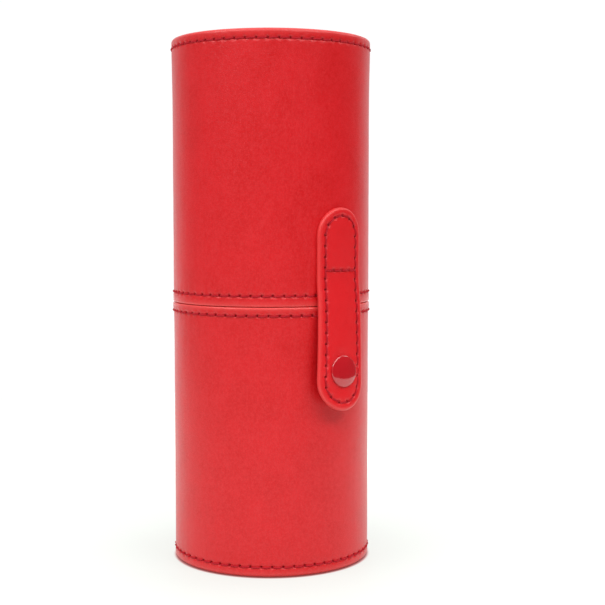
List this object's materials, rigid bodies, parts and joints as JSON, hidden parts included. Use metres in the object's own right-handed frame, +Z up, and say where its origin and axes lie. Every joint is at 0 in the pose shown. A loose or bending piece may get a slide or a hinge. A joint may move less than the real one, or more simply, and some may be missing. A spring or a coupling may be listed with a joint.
{
  "type": "brush cup case",
  "caption": "Upright cylindrical two-part leather-covered brush case: a cup with an inner collar, a pull-off lid over it, and a stitched snap strap joining the two.",
  "frame": {"origin": "centre of the cup's underside", "axes": "+Z up along the case's axis, the snap strap on the -Y side, +X across"},
  "size_m": [0.0756, 0.0823, 0.199],
  "materials": {
    "leather_red": "smooth embossed, semi-matte",
    "board": "grey board",
    "lining": "short-nap microfibre",
    "thread": "bonded sewing thread",
    "snap_lacquer": "glossy lacquer",
    "snap_metal": "bright nickel"
  },
  "bodies": {
    "cup": {"cup_outer_cover": "leather_red", "cup_board_tube": "board", "cup_base_cover": "leather_red", "cup_base_board": "board", "cup_floor_lining": "lining", "cup_wall_lining": "lining", "collar_board": "board", "collar_facing": "leather_red", "cup_mouth_stitching": "thread", "cup_base_stitching": "thread", "snap_stud": "snap_metal", "snap_rivet": "snap_metal"},
    "lid": {"lid_outer_cover": "leather_red", "lid_board_tube": "board", "lid_top_cover": "leather_red", "lid_top_board": "board", "lid_ceiling_lining": "lining", "lid_wall_lining": "lining", "lid_top_stitching": "thread", "lid_mouth_stitching": "thread", "strap_anchor_front": "leather_red", "strap_anchor_core": "board", "strap_anchor_back": "leather_red", "strap_anchor_stitching": "thread"},
    "strap": {"strap_flap_front": "leather_red", "strap_flap_core": "board", "strap_flap_back": "leather_red", "strap_flap_stitching": "thread", "snap_cap": "snap_lacquer", "snap_socket": "snap_metal"}
  },
  "joints": [
    {"name": "lid_lift", "type": "slide", "parent": "cup", "child": "lid", "axis": [0, 0, 1], "range_m": [0, 0.075]},
    {"name": "strap_swing", "type": "hinge", "parent": "lid", "child": "strap", "pos_m": [0, -0.0402, 0.108], "axis": [-1, 0, 0], "range_deg": [0, 125], "stiffness_Nm_per_rad": 0.004}
  ]
}
